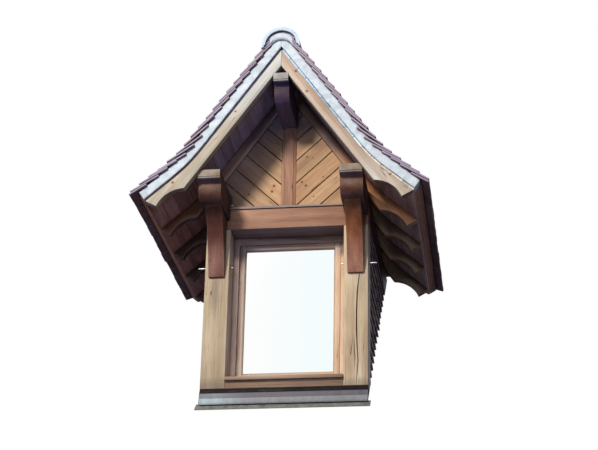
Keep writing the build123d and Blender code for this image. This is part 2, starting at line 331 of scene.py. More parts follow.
def rescale(value, low, high, newLow=0.0, newHigh=1.0):
    limits = {"Value": value, "From Min": low, "From Max": high, "To Min": newLow, "To Max": newHigh}
    return got("MapRange", limits, interpolation_type="SMOOTHSTEP")


def noise(vector, scale, detail=2.0, roughness=0.5, output="Fac"):
    return got("TexNoise", {"Vector": vector, "Scale": scale, "Detail": detail, "Roughness": roughness}, output)


def ramp(value, stops):
    node = put("ValToRGB", {0: value})
    elements = node.color_ramp.elements
    while len(elements) < len(stops):
        elements.new(0.5)
    for element, (position, colour) in zip(elements, stops):
        element.position, element.color = position, (*colour, 1)
    return Value(node.outputs["Color"])


def split(vector):
    return [Value(output) for output in put("SeparateXYZ", {0: vector}).outputs]


def facings():
    return split(got("NewGeometry", output="Normal"))


def group(**inputs):
    # Makes a node group of a function from inputs, given with their defaults, to numbers
    def build(function):
        tree = hand["tree"] = bpy.data.node_groups.new(function.__name__, "ShaderNodeTree")
        for label, value in inputs.items():
            kind = "NodeSocketFloat" if isinstance(value, float) else "NodeSocketVector"
            socket = tree.interface.new_socket(name=label, in_out="INPUT", socket_type=kind)
            if value is not None:
                socket.default_value = value
        given = tree.nodes.new("NodeGroupInput").outputs
        results = function({label: Value(given[label]) for label in inputs})
        for label in results:
            tree.interface.new_socket(name=label, in_out="OUTPUT", socket_type="NodeSocketFloat")
        feedAll(tree.nodes.new("NodeGroupOutput"), results)
        return tree
    return build


def useGroup(tree, **values):
    return {output.name: Value(output) for output in put("Group", values, node_tree=tree).outputs}


@group(Vector=None, ringWidth=0.009, waviness=0.018, bulge=0.0)
def woodFigure(given):
    # Growth rings, streaks, fibres and drying checks of timber whose grain runs along Z
    place = given["Vector"]
    wander = noise(place * (1, 1, 0.22), 5.0, 3.0, output="Color") - (0.5, 0.5, 0.5)
    bent = place + wander * given["waviness"]
    x, y, _ = split(bent + (0.31, 0.17, 0.0))
    around = maths("SQRT", x ** 2.0 + y ** 2.0) + given["bulge"]
    gap = maths("ABSOLUTE", noise(bent * (26, 26, 0.8), 1.0, 1.0) - 0.5)
    return {
        "Rings": maths("FRACT", around / given["ringWidth"]) ** 2.5,
        "Streaks": noise(bent * (16, 16, 0.9), 1.0, 3.0, 0.55),
        "Fibres": noise(bent * (300, 300, 7), 1.0, 2.0),
        "Checks": rescale(gap, 0.006, 0.0) * rescale(noise(place * (3, 3, 1.4), 1.0, 1.0), 0.52, 0.62),
    }


@group(Vector=None, centre=(0, 0, 0), size=(0.01, 0.01, 0.01), ragged=0.3)
def spot(given):
    # A soft-edged patch round a place, with a core and a halo
    away = (given["Vector"] - given["centre"]) / given["size"]
    distance = maths("LENGTH", away) + (noise(given["Vector"], 60.0, 3.0) - 0.5) * given["ragged"]
    return {"Core": rescale(distance, 1.05, 0.75), "Halo": rescale(distance, 2.6, 0.6)}


@group(radius=0.006)
def wornEdge(given):
    # 1 along edges that stand out, 0 on flat faces
    rounded = got("Bevel", {"Radius": given["radius"]}, samples=4)
    return {"Mask": rescale(maths("DOT_PRODUCT", rounded, got("NewGeometry", output="Normal")), 0.995, 0.86)}


@group(distance=0.06)
def cornerShade(given):
    # Painted shade mask from ambient occlusion: 1 in corners and joints, 0 in the open
    shade = got("AmbientOcclusion", {"Distance": given["distance"]}, "AO", samples=6)
    return {"Mask": rescale(shade, 0.85, 0.25)}


@group(Vector=None, size=0.3)
def blotches(given):
    # Three sizes of cloudy variation
    place = given["Vector"] * (1.0 / given["size"])
    return {"Broad": noise(place, 1.0, 2.0), "Medium": noise(place, 5.0, 3.0), "Fine": noise(place, 40.0, 4.0, 0.65)}


@group(Vector=None, size=0.03, cover=0.5)
def lichen(given):
    # Rounded patches that eat into a surface, with a paler middle
    place = given["Vector"]
    bent = place + noise(place, 70.0, 3.0, output="Color") * (given["size"] * 0.8)
    cells = got("TexVoronoi", {"Vector": bent, "Scale": 1.0 / given["size"]}, "Distance", feature="SMOOTH_F1")
    edge = given["cover"] * 1.1 + 0.35
    return {
        "Mask": rescale(cells + noise(place, 6.0, 3.0) * 1.2, edge, edge - 0.12),
        "Middle": rescale(cells, 0.35, 0.0),
    }


print("shader groups built:", len(bpy.data.node_groups))


def newMaterial(name):
    material = bpy.data.materials.new(name)
    material.use_nodes = True
    hand["tree"] = material.node_tree
    tone = got("Attribute", output="Fac", attribute_name="tone")
    return material, material.node_tree.nodes["Principled BSDF"], got("TexCoord", output="Object"), tone


def surface(shader, colour, roughness, specular, height, depth, strength=1.0):
    # Feeds the shader, with a bump of that height
    bump = got("Bump", {"Distance": depth, "Strength": strength, "Height": height})
    feedAll(shader, {"Base Color": colour, "Roughness": roughness, "Specular IOR Level": specular, "Normal": bump})


def brightened(colour, value):
    return got("HueSaturation", {"Value": value, "Color": colour})


def faded(place, colour, fades):
    # Painted light and shade: multiplies in each tint as the place moves from start to end along a direction
    for direction, start, end, tint in fades:
        colour = blend(rescale(maths("DOT_PRODUCT", place, direction), start, end), colour, tint, "MULTIPLY")
    return colour


def graded(depth, shades):
    return ramp(depth, list(zip((0.34, 0.5, 0.66), shades)))


def makeWood(name, look, turn=(0, 0, 0)):
    # turn brings the direction of the grain to Z
    material, shader, place, tone = newMaterial(name)
    along = got("Mapping", {"Vector": place, "Rotation": turn}, vector_type="POINT") + tone * look["toneShift"]
    core, halo = None, 0.0
    for x, y, z, size in look["knots"]:
        knot = useGroup(spot, Vector=place, centre=(x, y, z), size=(size, 0.08, size), ragged=0.5)
        core = maths("MAXIMUM", core, knot["Core"]) if core else knot["Core"]
        halo = maths("MAXIMUM", halo, knot["Halo"])
    figure = useGroup(woodFigure, Vector=along, ringWidth=look["ringWidth"], waviness=look["waviness"],
                      bulge=maths("MULTIPLY", halo, 0.02))
    cloud = useGroup(blotches, Vector=along, size=look["cloudSize"])
    depth = figure["Streaks"] * 0.62 + cloud["Broad"] * 0.38
    colour = graded(depth, look["shades"])
    colour = blend(figure["Rings"] * look["ringShow"], colour, look["ringColour"])
    colour = blend(rescale(figure["Fibres"], 0.62, 0.36, 0.0, 0.3), colour, look["shades"][0], "MULTIPLY")
    # Painted light and shade, from the look's fades
    colour = faded(place, colour, look["fades"])
    # The front block of a beam end keeps pale shades, while the darker body behind it is painted shade
    if "noseFrom" in look:
        level = maths("DOT_PRODUCT", place, (0, 1, 0))
        paleNose = graded(depth, look["noseShades"])
        colour = blend(rescale(level, look["noseFrom"] + 0.028, look["noseFrom"]), colour, paleNose)
    # Painted shade and light: tints multiplied into faces that point down and faces that point sideways
    facing = facings()
    colour = blend(rescale(facing[2], -0.45, -0.9), colour, look["underside"], "MULTIPLY")
    colour = blend(rescale(maths("ABSOLUTE", facing[0]), 0.6, 0.9), colour, look["side"], "MULTIPLY")
    colour = brightened(colour, tone * look["toneSpread"] + 1.0)
    for centre, size, strength in look["stains"]:
        stain = useGroup(spot, Vector=place, centre=centre, size=size, ragged=1.4)
        colour = blend(stain["Halo"] * strength, colour, look["stainColour"])
    if core:
        colour = blend(halo * 0.3, colour, look["knotHalo"])
        colour = blend(core * 0.85, colour, look["knotColour"])
    colour = blend(figure["Checks"], colour, look["checkColour"])
    edge = useGroup(wornEdge, radius=look["edgeWidth"])["Mask"]
    colour = blend(edge * (cloud["Medium"] * look["edgeShow"]), colour, look["edgeColour"])
    # Painted shade in corners and joints, broken up with noise as grime
    corner = useGroup(cornerShade, distance=0.05)["Mask"]
    colour = blend(corner * (cloud["Medium"] * look["grimeAndShadeShow"]), colour, look["grimeAndShadeColour"], "MULTIPLY")
    height = figure["Fibres"] * 0.5 - figure["Rings"] * 0.35 - figure["Checks"] * 3.0
    surface(shader, colour, look["roughness"] + figure["Fibres"] * 0.18, look["specular"], height, 0.0012, 0.8)
    return material


# Directions of the grain

alongX = (0, math.radians(-90), 0)
alongY = (math.radians(90), 0, 0)
alongZ = (0, 0, 0)


def alongSlope(side, angle):
    # angle is the steepness of a sloping timber that rises towards the ridge
    return (0, side * (math.radians(90) - angle), 0)


# Looks of the woods

# Shades go from dark to light. A stain is a place, a size and a strength. A fade is a direction, where it
# starts and ends, and a tint of painted light or shade. The side and underside tints are painted shade and
# light on faces that point sideways or down.

plainWood = {
    "ringWidth": 0.011, "waviness": 0.03, "cloudSize": 0.35, "ringShow": 0.22, "toneSpread": 0.35,
    "toneShift": (7.3, 5.1, 3.7), "edgeWidth": 0.008, "edgeShow": 0.7, "grimeAndShadeShow": 1.1, "roughness": 0.55,
    "specular": 0.35, "shades": ((0.26, 0.15, 0.08), (0.42, 0.27, 0.15), (0.56, 0.40, 0.24)),
    "ringColour": (0.25, 0.13, 0.06), "stainColour": (0.10, 0.07, 0.06), "knotHalo": (0.25, 0.11, 0.05),
    "knotColour": (0.06, 0.022, 0.012), "checkColour": (0.05, 0.03, 0.02), "edgeColour": (0.68, 0.52, 0.36),
    "grimeAndShadeColour": (0.30, 0.25, 0.22), "underside": (0.75, 0.80, 0.95), "side": (1.0, 1.0, 1.0),
    "fades": (), "stains": (), "knots": (),
}


def woodLook(base=plainWood, **changes):
    return {**base, **changes}


# Posts: the side tint is painted bluish shade, and the fade lightens the right post as painted light
postLook = woodLook(
    shades=((0.39, 0.275, 0.165), (0.53, 0.41, 0.265), (0.66, 0.54, 0.375)), ringColour=(0.40, 0.26, 0.15),
    stains=[((-0.52, -0.064, 0.80), (0.016, 0.05, 0.10), 0.55), ((0.56, -0.064, 0.9), (0.03, 0.05, 0.12), 0.25),
            ((-0.51, -0.064, 0.06), (0.10, 0.05, 0.04), 0.5), ((0.52, -0.064, 0.06), (0.10, 0.05, 0.03), 0.45)],
    fades=[((1, 0, 0), 0.0, 0.4, (1.14, 1.12, 1.12))], side=(0.85, 0.87, 1.15),
)
# Lintel: the underside tint is painted bluish shade, and the fade lightens its left end as painted light
lintelLook = woodLook(
    shades=((0.25, 0.115, 0.062), (0.365, 0.182, 0.11), (0.46, 0.255, 0.155)), ringColour=(0.27, 0.125, 0.07),
    edgeColour=(0.62, 0.40, 0.27), underside=(0.45, 0.60, 1.1),
    stains=[((-0.50, -0.064, 1.38), (0.10, 0.2, 0.14), 0.2)], fades=[((1, 0, 0), -0.24, -0.34, (1.3, 1.3, 1.25))],
)
# King post: darker towards the top as painted shade under the overhang, lighter on both chamfers as painted light
kingLook = woodLook(
    shades=((0.30, 0.145, 0.08), (0.44, 0.23, 0.14), (0.56, 0.33, 0.21)), ringColour=(0.32, 0.155, 0.09),
    edgeColour=(0.66, 0.48, 0.36),
    fades=[((0, 0, 1), 1.77, 1.97, (0.50, 0.50, 0.58)), ((1, 0, 0), -0.040, -0.050, (1.3, 1.6, 1.75)),
           ((1, 0, 0), 0.034, 0.044, (1.7, 1.75, 1.8))],
)
# Left gable rafter: greyed as weathered wood and lifted as painted light, darker up top and at its end as painted
# shade
leftGableLook = woodLook(lintelLook, stains=(), fades=[
    ((0, 0, 1), 0.0, 0.1, (1.6, 2.1, 2.8)), ((0, 0, 1), 1.86, 2.10, (0.40, 0.44, 0.60)),
    ((1, 0, 0), -0.54, -0.66, (0.42, 0.29, 0.20))])
# Right gable rafter: lighter all over and at its outer end as painted light, darker towards the top as painted shade
rightGableLook = woodLook(lintelLook, stains=(), fades=[
    ((0, 0, 1), 0.0, 0.1, (1.25, 1.28, 1.1)), ((0, 0, 1), 1.80, 2.02, (0.33, 0.38, 0.58)),
    ((1, 0, 0), 0.50, 0.60, (1.55, 1.35, 1.05))])
# Braces: a darker left and a lighter right copy of one red oak, both darker upwards, as painted shade and light
leftBraceLook = woodLook(
    shades=((0.16, 0.066, 0.046), (0.26, 0.118, 0.083), (0.38, 0.195, 0.15)), ringColour=(0.14, 0.055, 0.03),
    edgeColour=(0.45, 0.25, 0.17), ringShow=0.3, fades=[((0, 0, 1), 1.02, 1.20, (0.34, 0.19, 0.14))],
)
rightBraceLook = woodLook(
    leftBraceLook, shades=((0.25, 0.10, 0.062), (0.40, 0.175, 0.11), (0.56, 0.285, 0.20)),
    fades=[((0, 0, 1), 1.02, 1.20, (0.70, 0.51, 0.28))],
)
# Wall plates: the dark body, lower roll, left plate and sides are painted shade; the underside tint is painted bluish
# light
plateLook = woodLook(
    shades=((0.12, 0.060, 0.042), (0.18, 0.095, 0.066), (0.27, 0.155, 0.11)), edgeColour=(0.40, 0.29, 0.22),
    ringColour=(0.10, 0.05, 0.035), edgeShow=0.35, specular=0.2, underside=(0.85, 1.0, 1.5), side=(0.55, 0.55, 0.72),
    noseFrom=-0.498, noseShades=((0.19, 0.135, 0.095), (0.29, 0.225, 0.165), (0.38, 0.32, 0.245)),
    fades=[((0, 0, 1), 1.475, 1.405, (0.62, 0.44, 0.36)), ((1, 0, 0), 0.2, -0.2, (0.70, 0.67, 0.72))],
)
# Ridge beam: the dark purple body and the part just behind the nose are painted shade; the nose keeps pale grey
# shades
ridgeBeamLook = woodLook(
    plateLook, shades=((0.10, 0.065, 0.075), (0.15, 0.10, 0.115), (0.22, 0.14, 0.15)), noseFrom=-0.538,
    noseShades=((0.26, 0.235, 0.21), (0.38, 0.355, 0.33), (0.48, 0.47, 0.45)),
    fades=[((0, 1, 0), -0.40, -0.47, (0.47, 0.40, 0.56))],
)
# Right verge rafter: darker on its upper edge and underside as painted shade, paler and bluer at its end as painted
# light
paleLook = woodLook(
    shades=((0.42, 0.31, 0.22), (0.57, 0.47, 0.37), (0.67, 0.58, 0.48)), ringColour=(0.44, 0.29, 0.20),
    ringShow=0.35, toneSpread=0.2, edgeColour=(0.86, 0.76, 0.63), knotHalo=(0.50, 0.24, 0.13),
    knotColour=(0.14, 0.05, 0.03), underside=(0.30, 0.22, 0.18),
    knots=[(0.112, -0.541, 2.345, 0.013), (0.197, -0.541, 2.171, 0.011), (0.47, -0.541, 1.86, 0.010),
           (-0.33, -0.541, 2.03, 0.009), (-0.77, -0.541, 1.47, 0.012), (0.80, -0.541, 1.46, 0.009)],
    fades=[((0.819, 0, 0.573), 1.398, 1.428, (0.84, 0.72, 0.66)), ((1, 0, 0), 0.52, 0.74, (1.17, 1.36, 1.50))],
)
# Left verge rafter: a greyer copy, paler and bluer towards the top as painted light, darker underneath as painted
# shade
greyLook = woodLook(
    paleLook, shades=((0.39, 0.32, 0.235), (0.51, 0.45, 0.345), (0.66, 0.59, 0.46)), ringColour=(0.39, 0.28, 0.20),
    edgeColour=(0.80, 0.72, 0.56), underside=(0.42, 0.37, 0.38), fades=[((0, 0, 1), 1.85, 2.15, (1.08, 1.2, 1.45))],
)
# Gable boards: darker towards the upper left and the top, as painted shade under the overhang
boardLook = woodLook(
    shades=((0.32, 0.165, 0.08), (0.47, 0.275, 0.138), (0.59, 0.385, 0.208)), ringColour=(0.34, 0.165, 0.07),
    edgeColour=(0.60, 0.40, 0.22), edgeShow=0.3, knotHalo=(0.34, 0.14, 0.06),
    knots=[(-0.111, -0.029, 1.661, 0.011), (-0.125, -0.029, 1.615, 0.011), (0.100, -0.029, 1.684, 0.010),
           (0.131, -0.029, 1.653, 0.010), (0.135, -0.029, 1.893, 0.008), (0.181, -0.029, 1.882, 0.006),
           (0.26, -0.029, 1.72, 0.006), (-0.30, -0.029, 1.60, 0.007), (0.19, -0.029, 1.56, 0.006)],
    fades=[((-0.85, 0, 0.53), 0.96, 1.29, (0.48, 0.52, 0.80)), ((0, 0, 1), 1.93, 2.20, (0.40, 0.48, 0.85))],
)
# Left rafters: a dark, shaded copy of the rafter oak, darker and redder at the front and underneath as painted shade
leftRafterLook = woodLook(
    shades=((0.085, 0.055, 0.042), (0.14, 0.09, 0.068), (0.20, 0.13, 0.10)), ringColour=(0.07, 0.045, 0.035),
    edgeColour=(0.42, 0.31, 0.23), edgeShow=1.0, specular=0.1, underside=(0.75, 0.5, 0.35),
    fades=[((0, 1, 0), 0.5, 0.2, (0.75, 0.52, 0.44))],
)
# Right rafters: a lit copy, lighter at the front, back and underneath as painted light, darker outwards as painted
# shade
rightRafterLook = woodLook(
    leftRafterLook, shades=((0.20, 0.11, 0.06), (0.34, 0.19, 0.105), (0.46, 0.27, 0.16)),
    underside=(1.2, 0.85, 0.65),
    fades=[((0, 1, 0), -0.10, -0.25, (2.1, 1.8, 1.4)), ((1, 0, 0), 0.62, 0.74, (0.45, 0.46, 0.50)),
           ((0, 1, 0), -0.10, 0.20, (1.8, 2.1, 2.2))],
)
soffitLook = woodLook(
    shades=((0.34, 0.175, 0.15), (0.53, 0.28, 0.245), (0.68, 0.39, 0.34)), ringColour=(0.28, 0.13, 0.115),
    edgeShow=0.2, toneSpread=0.5, roughness=0.65, underside=(1.0, 1.0, 1.0), specular=0.15,
)
# Fascias: the lighter underside and the lighter left fascia are painted light
fasciaLook = woodLook(
    soffitLook, shades=((0.24, 0.125, 0.085), (0.38, 0.21, 0.145), (0.50, 0.30, 0.21)),
    ringColour=(0.2, 0.09, 0.065), underside=(1.3, 1.0, 0.85), fades=[((1, 0, 0), 0.5, -0.5, (1.25, 1.25, 1.05))],
)
sawnLook = woodLook(
    shades=((0.24, 0.15, 0.09), (0.38, 0.26, 0.16), (0.50, 0.36, 0.24)), roughness=0.75, specular=0.2,
    toneSpread=0.5,
)
# Sash: painted shade on the left, at the top and underneath, and painted light on the right
joineryLook = woodLook(
    shades=((0.36, 0.20, 0.11), (0.52, 0.33, 0.20), (0.64, 0.44, 0.29)), ringColour=(0.38, 0.2, 0.1),
    roughness=0.38, specular=0.5, edgeColour=(0.72, 0.54, 0.40), edgeShow=0.4, ringShow=0.14,
    underside=(0.7, 0.8, 1.1),
    fades=[((1, 0, 0), 0.1, -0.2, (0.80, 0.88, 1.05)), ((1, 0, 0), 0.1, 0.34, (1.32, 1.34, 1.30)),
           ((0, 0, 1), 1.10, 1.17, (0.72, 0.76, 0.95))],
)
# Window frame: lighter on the left and right as painted light, much darker at the top as painted shade under the
# lintel
frameLook = woodLook(joineryLook, fades=[
    ((1, 0, 0), 0.1, -0.3, (1.6, 1.75, 2.1)), ((1, 0, 0), 0.1, 0.34, (1.36, 1.40, 1.36)),
    ((0, 0, 1), 1.10, 1.17, (0.29, 0.28, 0.34))])
# Sill: its lighter, bluer underside is painted light
sillLook = woodLook(
    joineryLook, shades=((0.20, 0.105, 0.056), (0.29, 0.17, 0.10), (0.37, 0.24, 0.145)),
    edgeColour=(0.50, 0.34, 0.22), fades=(), underside=(1.0, 0.95, 1.15),
)
# Sill beam: near-black shades, painted shade for the gap above the flashing
sillBeamLook = woodLook(
    shades=((0.015, 0.010, 0.008), (0.025, 0.017, 0.014), (0.04, 0.028, 0.022)), ringColour=(0.015, 0.01, 0.008),
    edgeShow=0.05, specular=0.05,
)

# Camera at the photograph's angle, low and looking up

cameraView = {
    "place": (1.5356, -10.1299, -3.3634), "yaw": 0.14271, "pitch": 0.43105, "roll": 0.02019,
    "lens": 91.29, "sensor": 36.0, "clip": 200,
}


def addCamera():
    yaw, pitch, roll = cameraView["yaw"], cameraView["pitch"], cameraView["roll"]
    ahead = Vector((-math.sin(yaw) * math.cos(pitch), math.cos(yaw) * math.cos(pitch), math.sin(pitch)))
    level = Vector((math.cos(yaw), math.sin(yaw), 0))
    above = level.cross(ahead)
    right = level * math.cos(roll) + above * math.sin(roll)
    up = above * math.cos(roll) - level * math.sin(roll)
    pick()
    bpy.ops.object.camera_add()
    camera = scene.camera = bpy.context.object
    camera.matrix_world = Matrix.Translation(cameraView["place"]) @ Matrix((right, up, -ahead)).transposed().to_4x4()
    camera.data.lens = cameraView["lens"]
    camera.data.sensor_width = cameraView["sensor"]
    camera.data.sensor_fit = "HORIZONTAL"
    camera.data.clip_end = cameraView["clip"]


# Light: a soft lamp from the upper left, a broad weak one in front and a pale sky over a dim ground

lighting = {
    "keyLamp": {"place": (-2.8, -8.6, 5.35), "aim": (0, 0, 1.3), "size": 1.6, "power": 325,
                "colour": (1.0, 0.955, 0.88)},
    "fillLamp": {"place": (-0.6, -14.0, 0.95), "aim": (0, 0, 1.4), "size": 1.8, "power": 116,
                 "colour": (0.76, 0.82, 1.0)},
    "spread": math.radians(110),
    "sky": (0.60, 0.79, 1.0), "skyStrength": 0.27, "horizon": (-0.06, 0.10),
    "ground": (0.50, 0.50, 0.55), "groundStrength": 0.05, "background": (1.0, 1.0, 1.0, 1.0),
    "floorColour": (0.80, 0.79, 0.77), "floorBounce": (0.21, 0.21, 0.29), "floorHeight": -0.116, "floorSize": 40,
}


def addLamp(name):
    values = lighting[name]
    place = Vector(values["place"])
    pick()
    bpy.ops.object.light_add(type="AREA", location=place)
    lamp = bpy.context.object
    lamp.name = name
    lamp.rotation_euler = (Vector(values["aim"]) - place).to_track_quat("-Z", "Y").to_euler()
    lamp.data.shape = "DISK"
    lamp.data.size = values["size"]
    lamp.data.energy = values["power"]
    lamp.data.spread = lighting["spread"]
    lamp.data.color = values["colour"]


def addSky():
    world = scene.world = bpy.data.worlds.new("studio")
    world.use_nodes = True
    hand["tree"] = world.node_tree
    world.node_tree.nodes.clear()
    rays = put("LightPath").outputs
    seen = maths("MAXIMUM", Value(rays["Is Camera Ray"]), Value(rays["Is Glossy Ray"]))
    seen = maths("MAXIMUM", seen, Value(rays["Is Transmission Ray"]))
    height = split(got("TexCoord", output="Generated"))[2]
    colour = blend(rescale(height, *lighting["horizon"]), lighting["ground"], lighting["sky"])
    strength = rescale(height, *lighting["horizon"], lighting["groundStrength"], lighting["skyStrength"])
    light = got("Background", {"Color": colour, "Strength": strength})
    backdrop = got("Background", {"Color": lighting["background"]})
    put("OutputWorld", {"Surface": got("MixShader", {0: seen, 1: light, 2: backdrop})})


def addFloor():
    # Pale floor that a camera below it looks through
    pick()
    bpy.ops.mesh.primitive_plane_add(size=lighting["floorSize"], location=(0, 0, lighting["floorHeight"]))
    floor = bpy.context.object
    floor.name = "floor"
    material, shader, place, _ = newMaterial("paleFloor")
    cloud = useGroup(blotches, Vector=place, size=2.0)
    colour = blend(got("LightPath", output="Is Camera Ray"), lighting["floorBounce"], lighting["floorColour"])
    colour = brightened(colour, rescale(cloud["Broad"], 0.2, 0.8, 0.97, 1.03))
    feedAll(shader, {"Base Color": colour, "Roughness": 0.9})
    mixed = got("MixShader", {0: got("NewGeometry", output="Backfacing"), 1: Value(shader.outputs[0]),
                              2: got("BsdfTransparent")})
    feedAll(material.node_tree.nodes["Material Output"], {"Surface": mixed})
    floor.data.materials.append(material)


addCamera()
addLamp("keyLamp")
addLamp("fillLamp")
addSky()
addFloor()
scene.view_settings.view_transform = "Standard"
print("camera and light set")

# Oak frame, with a chamfer along the top of the lintel

timberEdges = {"post": 0.005, "beam": 0.004, "king": 0.002, "brace": 0.005, "rafter": 0.005, "chamfer": 0.014}
frameTimbers = (
    ("king_post", "kingPostOak", kingLook, alongZ, "frame_oak", "king"),
    ("ridge_beam", "ridgeBeamOak", ridgeBeamLook, alongY, "frame_oak", "beam"),
    ("sill_beam", "sillBeamOak", sillBeamLook, alongX, "frame_oak", "beam"),
    ("left_brace", "leftBraceOak", leftBraceLook, alongZ, "red_oak", "brace"),
    ("right_brace", "rightBraceOak", rightBraceLook, alongZ, "red_oak", "brace"),
)

# Drying crack down the right post, as places on its front face and the width there
postCrack = {
    "line": [(0.538, 0.93, 0.003), (0.536, 0.888, 0.006), (0.523, 0.78, 0.009), (0.518, 0.626, 0.010),
             (0.518, 0.473, 0.010), (0.522, 0.359, 0.008), (0.529, 0.246, 0.007), (0.524, 0.158, 0.005),
             (0.517, 0.075, 0.003)],
    "front": -0.080, "depth": 0.055,
}


def addCrackCutter():
    line, front = postCrack["line"], postCrack["front"]
    cutter = addBlock("crackCutter", (-0.5, front, line[-1][1]), (0.5, front + postCrack["depth"], line[0][1]))
    with editing(cutter, "EDGE", lambda e: edgeAlong(e, 2)):
        bpy.ops.mesh.subdivide(number_cuts=len(line) - 2)
    levels = sorted({round(v.co.z, 5) for v in cutter.data.vertices}, reverse=True)
    for level, (x, z, width) in zip(levels, line):
        with editing(cutter, "VERT", lambda v: abs(v.co.z - level) < 1e-4):
            bpy.ops.transform.resize(value=(width, 1, 1), center_override=(0, 0, 0))
            bpy.ops.transform.translate(value=(x, 0, z - level))
    return cutter


def dressFrame():
    postWood = makeWood("postOak", postLook, alongZ)
    plateWood = makeWood("plateOak", plateLook, alongY)
    for side, _ in sides:
        post = cadCopy(side + "_post")
        soften(post, timberEdges["post"], 3)
        if side == "right":
            cutter = addCrackCutter()
            applied(post, "BOOLEAN", object=cutter, operation="DIFFERENCE", solver="EXACT")
            bpy.data.objects.remove(cutter)
        smoothed(post)
        finished(post, postWood, "frame_oak", side + "_post")
        dressed(side + "_wall_plate", plateWood, "frame_oak", timberEdges["beam"])
    lintel = cadCopy("lintel")
    lintel.name = "lintelBeam"
    low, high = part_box("lintel")
    with editing(lintel, "EDGE", lambda e: edgeAlong(e, 0) and edgeMiddle(e).z > high.z - 0.001
                 and edgeMiddle(e).y < low.y + 0.001):
        bpy.ops.mesh.bevel(offset=timberEdges["chamfer"], segments=1, affect="EDGES")
    dressed("lintel", makeWood("lintelOak", lintelLook, alongX), "frame_oak", timberEdges["beam"], piece=lintel)
    for node, name, look, turn, slot, kind in frameTimbers:
        dressed(node, makeWood(name, look, turn), slot, timberEdges[kind])


dressFrame()
print("oak frame dressed")

# Rafters

rafterKinds = {
    "verge_rafter": ("VergeOak", "pale_oak", greyLook, paleLook),
    "gable_rafter": ("GableRafterOak", "frame_oak", leftGableLook, rightGableLook),
    "rafters": ("RafterOak", "red_oak", leftRafterLook, rightRafterLook),
}
for side, sign in sides:
    for kind, (label, slot, leftLook, rightLook) in rafterKinds.items():
        wood = makeWood(side + label, leftLook if sign < 0 else rightLook, alongSlope(sign, upperPitch))
        dressed(side + "_" + kind, wood, slot, timberEdges["rafter"])
print("rafters dressed")

# Gable boards in a V, cut from the gable's outline along sloping seams

gableBoards = {
    "angle": math.radians(43.5), "gap": 0.0065, "edge": 0.003, "least": 0.01,
    "left": (1.07, 1.253, 1.428, 1.618, 1.811, 1.99, 2.17, 2.36, 2.55),
    "right": (1.09, 1.263, 1.434, 1.623, 1.813, 1.99, 2.17, 2.36, 2.55),
}


def addGableBoards():
    angle = gableBoards["angle"]
    for side, sign in sides:
        outline = cadCopy(side + "_gable_boards")
        across = Vector((-sign * math.sin(angle), 0, math.cos(angle)))
        boards, seams = [], [Vector((0, 0, z)) for z in gableBoards[side]]
        for i, (lowSeam, highSeam) in enumerate(zip(seams, seams[1:])):
            near, far = reach(outline, across)
            if near > across.dot(highSeam) or far < across.dot(lowSeam) + gableBoards["least"]:
                continue
            board = duplicate(outline, f"{side}Board{i}")
            cutAway(board, highSeam - across * gableBoards["gap"] / 2, across)
            cutAway(board, lowSeam + across * gableBoards["gap"] / 2, -across)
            soften(board, gableBoards["edge"], 1)
            giveTone(board, randomly.uniform(-0.5, 0.5))
            boards.append(board)
        bpy.data.objects.remove(outline)
        wood = makeWood(side + "GableWood", boardLook, (0, sign * (angle - math.radians(90)), 0))
        finished(joined(side + "GableBoards", boards), wood, "gable_boarding", side + "_gable_boards")


addGableBoards()
print("gable boarded")

# Soffit boards that run back along the slopes, with the painted light and shade of each side

soffitBoards = {
    "width": 0.104, "gap": 0.002, "thickness": 0.0155, "front": -0.5343, "edge": 0.0025, "past": 0.1,
    # Painted light and shade: tints at the front edge, higher up and further back, lighter on the right
    "left": [((0, 1, 0), -0.512, -0.530, (0.25, 0.42, 0.70)), ((0, 0, 1), 1.58, 1.80, (0.76, 1.30, 2.2)),
             ((0, 1, 0), -0.25, -0.40, (0.68, 0.46, 0.35)), ((0, 1, 0), -0.25, 0.05, (1.3, 1.2, 1.15))],
    "right": [((0, 1, 0), -0.512, -0.530, (1.5, 2.2, 2.0)), ((0, 0, 1), 1.58, 1.80, (0.65, 1.2, 1.9)),
              ((0, 0, 1), 1.80, 1.58, (1.2, 1.4, 1.4)), ((0, 1, 0), -0.1, 0.3, (1.35, 1.5, 1.5))],
}


def addSoffit():
    total = roofLength(0, 0)
    count = round(total / soffitBoards["width"])
    width, front, lift = total / count, soffitBoards["front"], soffitBoards["thickness"] / 2
    for side, sign in sides:
        boards = []
        for i in range(count):
            x, z, angle = roofPoint(0, (i + 0.5) * width)
            back = (z + soffitBoards["past"]) / math.tan(mainPitch)
            pick()
            bpy.ops.mesh.primitive_cube_add(
                size=1, rotation=(0, sign * angle, 0),
                scale=(width - soffitBoards["gap"], back - front, soffitBoards["thickness"]),
                location=(sign * (x + lift * math.sin(angle)), (back + front) / 2, z + lift * math.cos(angle)))
            board = settled(f"{side}Soffit{i}")
            soften(board, soffitBoards["edge"], 1)
            if clippedByRoof(board):
                giveTone(board, randomly.uniform(-0.5, 0.5))
                boards.append(board)
        wood = makeWood(side + "Soffit", woodLook(soffitLook, fades=soffitBoards[side]), alongY)
        finished(joined(side + "RoofBoards", boards), wood, "roof_carpentry", side + "_roof_boards")


addSoffit()
print("soffit boarded")

# Plain tiles in courses, lying on the battens with their noses on the roof's outer line

